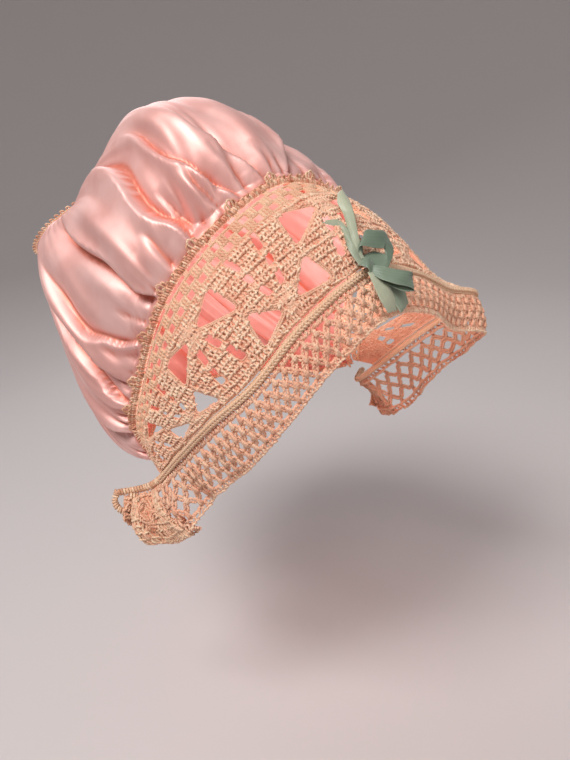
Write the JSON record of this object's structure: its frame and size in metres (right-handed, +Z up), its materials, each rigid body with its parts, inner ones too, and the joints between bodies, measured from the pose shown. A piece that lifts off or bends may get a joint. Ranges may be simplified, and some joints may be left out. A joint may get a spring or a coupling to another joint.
{
  "type": "boudoir cap",
  "caption": "Satin boudoir cap with a gathered crown, a pierced crochet band with an open mesh brim flared at the ears, and a small ribbon bow.",
  "frame": {"origin": "the point inside the cap that rests on the top of the head", "axes": "+Z up, face toward -Y, the wearer's left toward +X"},
  "size_m": [0.2383, 0.3073, 0.26],
  "materials": {
    "pink_satin": "glossy pink satin",
    "peach_crochet": "matt peach crochet cotton",
    "tan_cord": "matt tan wrapped thread",
    "sage_ribbon": "soft sage green ribbon"
  },
  "bodies": {
    "root": {"satin_crown": "pink_satin", "crown_medallion": "peach_crochet", "crochet_band": "peach_crochet", "mesh_brim": "peach_crochet", "picot_edging": "peach_crochet", "nape_edging": "peach_crochet", "edge_cord": "tan_cord", "brim_rib": "tan_cord", "bow_knot": "sage_ribbon", "bow_loop_upper": "sage_ribbon", "bow_loop_side": "sage_ribbon", "bow_tail_up_near": "sage_ribbon", "bow_tail_up_far": "sage_ribbon", "bow_tail_front": "sage_ribbon", "bow_tail_side": "sage_ribbon"}
  },
  "joints": []
}
